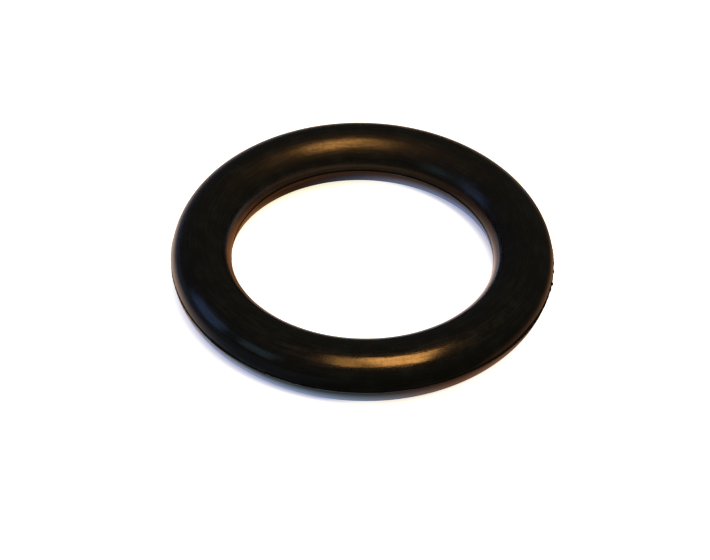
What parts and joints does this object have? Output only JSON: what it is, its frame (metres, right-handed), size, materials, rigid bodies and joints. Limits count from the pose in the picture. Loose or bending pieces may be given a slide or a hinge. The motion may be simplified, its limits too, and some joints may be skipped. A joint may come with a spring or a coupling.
{
  "type": "o-ring",
  "caption": "Round rubber sealing ring of circular section, with a thin moulded parting line round its outside and its hole.",
  "frame": {"origin": "centre of the ring on the plane it rests on, so the ring lies from z = 0 to its section height", "axes": "+Z along the ring's axis, square to the plane it lies in; X and Y are any two square directions in that plane"},
  "size_m": [0.034, 0.034, 0.0053],
  "materials": {
    "black_rubber": "satin moulded rubber, nearly black with a warm tone"
  },
  "bodies": {
    "root": {"o_ring": "black_rubber"}
  },
  "joints": []
}
